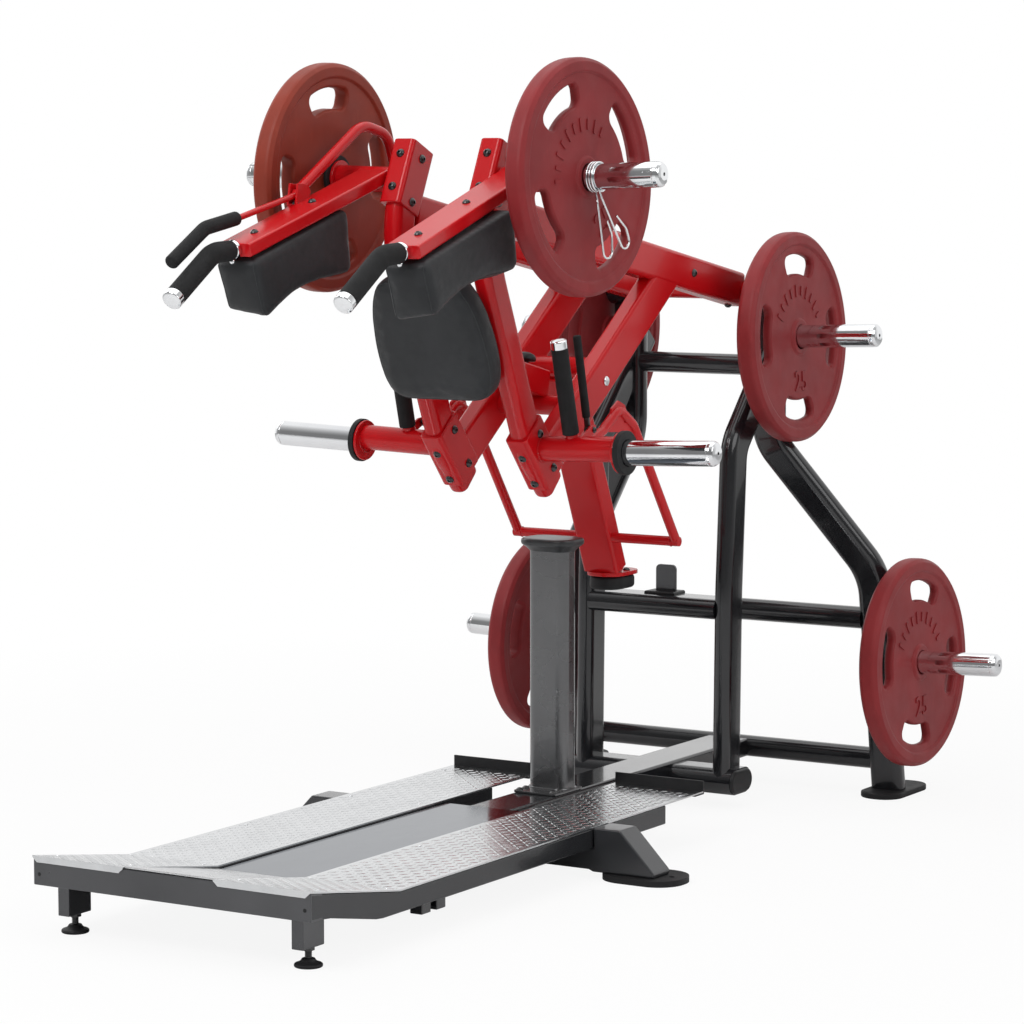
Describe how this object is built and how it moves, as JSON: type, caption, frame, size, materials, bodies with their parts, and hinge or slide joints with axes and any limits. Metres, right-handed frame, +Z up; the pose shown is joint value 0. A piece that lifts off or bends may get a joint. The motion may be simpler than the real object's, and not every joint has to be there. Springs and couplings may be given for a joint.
{
  "type": "squat machine",
  "caption": "Plate-loaded lever squat machine: platform, rear frame, pivoting lever with shoulder pads, handles, weight horns and storage horns.",
  "frame": {"origin": "on the floor under the middle of the machine's outer box", "axes": "+X to the near side in the picture, the user's left when facing away from the lever; +Y from the platform's front edge to the rear frame; +Z up"},
  "size_m": [1.3372, 2.2663, 1.5702],
  "materials": {
    "frame_black": "gloss powder coat",
    "frame_graphite": "satin metallic powder coat",
    "lever_red": "gloss powder coat",
    "lever_black": "gloss powder coat",
    "chrome": "polished chrome",
    "tread_plate": "bright raised-bar tread plate",
    "black_rubber": "matte",
    "pad_vinyl": "fine-grained vinyl",
    "plate_rubber": "matte red rubber coat over iron"
  },
  "bodies": {
    "frame": {"platform_frame": "frame_black", "centre_panel": "frame_black", "outrigger": "frame_black", "spine_and_foot_tube": "frame_black", "upright_near": "frame_black", "upright_far": "frame_black", "rear_column_near": "frame_black", "rear_column_far": "frame_black", "top_cross_tube": "frame_black", "rear_cross_tube": "frame_black", "low_cross_tube": "frame_black", "heel_stop_near": "frame_graphite", "heel_stop_far": "frame_graphite", "front_post": "frame_graphite", "mid_cross_tube": "frame_graphite", "tread_board_near": "tread_plate", "tread_board_far": "tread_plate", "post_cap": "black_rubber", "pivot_shaft": "chrome", "rack_horn_top_near": "chrome", "rack_horn_top_far": "chrome", "rack_horn_low_near": "chrome", "rack_horn_low_far": "chrome"},
    "lever": {"pivot_sleeve": "lever_red", "mast_and_brace": "lever_red", "back_pad_bracket": "lever_red", "guard_hoop": "lever_red", "lever_beam_near": "lever_red", "lever_beam_far": "lever_red", "lever_strut_near": "lever_red", "lever_strut_far": "lever_red", "side_tube_near": "lever_red", "side_tube_far": "lever_red", "shoulder_arm_near": "lever_red", "shoulder_arm_far": "lever_red", "load_horn_near": "chrome", "load_horn_far": "chrome", "front_horn_near": "chrome", "front_horn_far": "chrome", "shoulder_pad_near": "pad_vinyl", "shoulder_pad_far": "pad_vinyl", "back_pad": "pad_vinyl", "handle_near": "black_rubber", "handle_far": "black_rubber", "grip_near": "black_rubber", "grip_far": "black_rubber", "rubber_bumper": "black_rubber"},
    "levelling_foot_near": {"levelling_foot_near": "black_rubber"},
    "levelling_foot_far": {"levelling_foot_far": "black_rubber"},
    "rack_plate_top_near": {"rack_plate_top_near": "plate_rubber"},
    "rack_plate_top_far": {"rack_plate_top_far": "plate_rubber"},
    "rack_plate_low_near": {"rack_plate_low_near": "plate_rubber"},
    "rack_plate_low_far": {"rack_plate_low_far": "plate_rubber"},
    "load_plate_near": {"load_plate_near": "plate_rubber"},
    "load_plate_far": {"load_plate_far": "plate_rubber"},
    "spring_collar": {"spring_collar": "chrome"},
    "squeeze_lever_near": {"squeeze_lever_near": "lever_black"},
    "squeeze_lever_far": {"squeeze_lever_far": "lever_black"},
    "release_handle": {"release_handle": "black_rubber"}
  },
  "joints": [
    {"name": "lever_pivot", "type": "hinge", "parent": "frame", "child": "lever", "pos_m": [0, 0.777, 1.1], "axis": [-1, 0, 0], "range_deg": [0, 22]},
    {"name": "levelling_foot_screw_near", "type": "slide", "parent": "frame", "child": "levelling_foot_near", "axis": [0, 0, 1], "range_m": [0, 0.012]},
    {"name": "rack_plate_top_slide_near", "type": "slide", "parent": "frame", "child": "rack_plate_top_near", "axis": [0.9994, 0, 0.0349], "range_m": [0, 0.23]},
    {"name": "rack_plate_low_slide_near", "type": "slide", "parent": "frame", "child": "rack_plate_low_near", "axis": [0.9994, 0, 0.0349], "range_m": [0, 0.226]},
    {"name": "load_plate_slide_near", "type": "slide", "parent": "lever", "child": "load_plate_near", "axis": [0.9994, 0, 0.0349], "range_m": [0, 0.21]},
    {"name": "squeeze_lever_pivot_near", "type": "hinge", "parent": "lever", "child": "squeeze_lever_near", "pos_m": [0.19, -0.016, 0.852], "axis": [1, 0, 0], "range_deg": [0, 8]},
    {"name": "levelling_foot_screw_far", "type": "slide", "parent": "frame", "child": "levelling_foot_far", "axis": [0, 0, 1], "range_m": [0, 0.012]},
    {"name": "rack_plate_top_slide_far", "type": "slide", "parent": "frame", "child": "rack_plate_top_far", "axis": [-0.9994, 0, 0.0349], "range_m": [0, 0.23]},
    {"name": "rack_plate_low_slide_far", "type": "slide", "parent": "frame", "child": "rack_plate_low_far", "axis": [-0.9994, 0, 0.0349], "range_m": [0, 0.226]},
    {"name": "load_plate_slide_far", "type": "slide", "parent": "lever", "child": "load_plate_far", "axis": [-0.9994, 0, 0.0349], "range_m": [0, 0.21]},
    {"name": "squeeze_lever_pivot_far", "type": "hinge", "parent": "lever", "child": "squeeze_lever_far", "pos_m": [-0.19, -0.016, 0.852], "axis": [1, 0, 0], "range_deg": [0, 8]},
    {"name": "spring_collar_slide", "type": "slide", "parent": "load_plate_near", "child": "spring_collar", "axis": [0.9994, 0, 0.0349], "range_m": [0, 0.12]},
    {"name": "release_handle_pivot", "type": "hinge", "parent": "lever", "child": "release_handle", "pos_m": [-0.21, -0.432, 1.3125], "axis": [-1, 0, 0], "range_deg": [0, 10]}
  ],
  "couplings": [
    {"joint": "squeeze_lever_pivot_far", "follows": "squeeze_lever_pivot_near", "ratio": 1}
  ]
}
